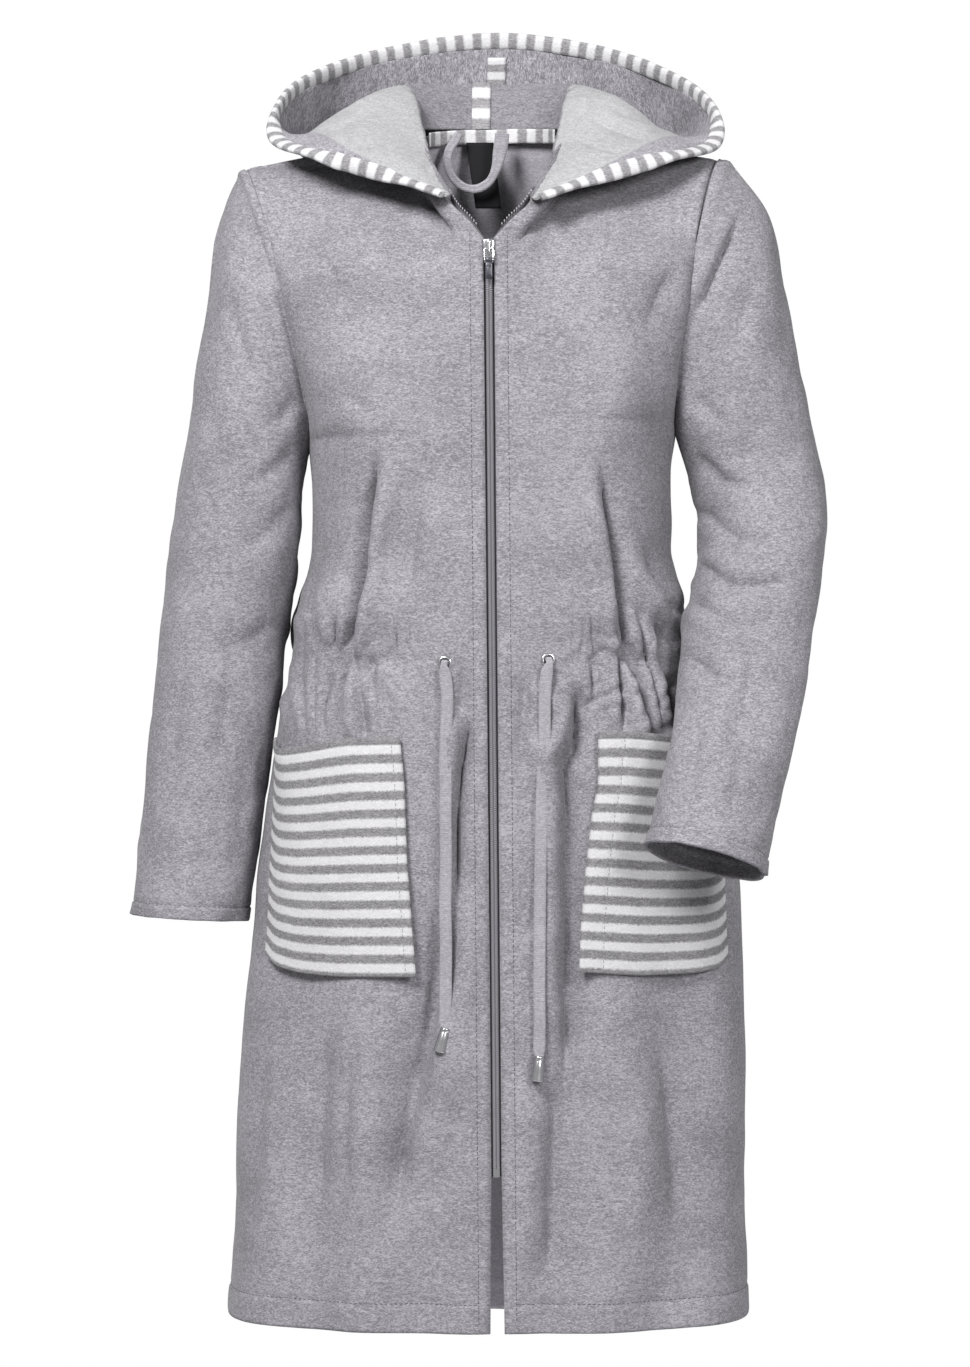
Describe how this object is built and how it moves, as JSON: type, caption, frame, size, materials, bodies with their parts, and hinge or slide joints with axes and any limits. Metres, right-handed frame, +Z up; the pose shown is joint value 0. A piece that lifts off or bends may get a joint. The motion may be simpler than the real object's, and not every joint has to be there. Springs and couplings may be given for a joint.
{
  "type": "bathrobe",
  "caption": "Knee-length hooded towelling bathrobe with a front zip, striped patch pockets and hood trim, and a drawcord waist with metal eyelets and tips.",
  "frame": {"origin": "middle of the neck opening, level with the back neck seam, between the shoulder seams: the wearer's shoulders hold the robe up", "axes": "+Z up, the robe's long way; -Y to the front, where the zip is; +X to the right as seen from the front"},
  "size_m": [0.5854, 0.3801, 1.1219],
  "materials": {
    "towelling": "grey melange brushed towelling",
    "hood_towelling": "grey melange brushed towelling, lighter face inside",
    "striped_pocket": "knitted towelling, level grey and white stripes",
    "striped_trim": "striped knitted binding, grey and white",
    "label_cloth": "black woven satin, blank",
    "zip_tape": "dark grey woven tape",
    "zip_coil": "grey nylon coil",
    "bright_metal": "polished plate",
    "puller_dark": "dark satin",
    "drawcord": "flat knitted cord, light grey"
  },
  "bodies": {
    "robe_shell": {"back_panel": "towelling", "front_panel_left": "towelling", "front_panel_right": "towelling", "waist_casing": "towelling", "hood_panel_left": "hood_towelling", "hood_panel_right": "hood_towelling", "pocket_left": "striped_pocket", "pocket_right": "striped_pocket", "hood_rim_binding": "striped_trim", "hood_centre_tape_lower": "striped_trim", "hood_centre_tape_upper": "striped_trim", "neck_tape": "striped_trim", "neck_label": "label_cloth", "zip_tape_left": "zip_tape", "zip_tape_right": "zip_tape", "zip_coil_left": "zip_coil", "zip_coil_right": "zip_coil", "zip_bottom_stop": "bright_metal", "zip_top_stop_left": "bright_metal", "zip_top_stop_right": "bright_metal", "eyelet_left": "bright_metal", "eyelet_right": "bright_metal", "eyelet_washer_left": "bright_metal", "eyelet_washer_right": "bright_metal", "drawcord_inner_run": "drawcord"},
    "zip_slider": {"zip_slider_body": "bright_metal"},
    "zip_puller": {"zip_puller_link": "bright_metal", "zip_puller_tab": "puller_dark"},
    "left_sleeve": {"sleeve_left": "towelling"},
    "right_sleeve": {"sleeve_right": "towelling"},
    "left_drawcord_end": {"drawcord_left": "drawcord", "cord_tip_left": "bright_metal"},
    "right_drawcord_end": {"drawcord_right": "drawcord", "cord_tip_right": "bright_metal"},
    "neck_loop": {"hanger_loop": "towelling"}
  },
  "joints": [
    {"name": "zip_slide", "type": "slide", "parent": "robe_shell", "child": "zip_slider", "axis": [0.0084, -0.0441, -0.999], "range_m": [0, 0.742]},
    {"name": "puller_tilt", "type": "hinge", "parent": "zip_slider", "child": "zip_puller", "pos_m": [-0.00293, -0.10443, -0.11313], "axis": [-1, 0, 0], "range_deg": [0, 140]},
    {"name": "left_sleeve_lift", "type": "hinge", "parent": "robe_shell", "child": "left_sleeve", "pos_m": [-0.21255, 0, -0.03653], "axis": [0, 1, 0], "range_deg": [0, 30]},
    {"name": "right_sleeve_lift", "type": "hinge", "parent": "robe_shell", "child": "right_sleeve", "pos_m": [0.19545, 0, -0.02803], "axis": [0, -1, 0], "range_deg": [0, 30]},
    {"name": "left_drawcord_swing", "type": "hinge", "parent": "robe_shell", "child": "left_drawcord_end", "pos_m": [-0.03963, -0.11667, -0.45583], "axis": [-1, 0, 0], "range_deg": [0, 60]},
    {"name": "right_drawcord_swing", "type": "hinge", "parent": "robe_shell", "child": "right_drawcord_end", "pos_m": [0.04686, -0.11544, -0.45334], "axis": [-1, 0, 0], "range_deg": [0, 60]},
    {"name": "hanger_loop_flip", "type": "hinge", "parent": "robe_shell", "child": "neck_loop", "pos_m": [-0.0133, 0.0334, -0.008], "axis": [-1, 0, 0], "range_deg": [0, 150]}
  ]
}
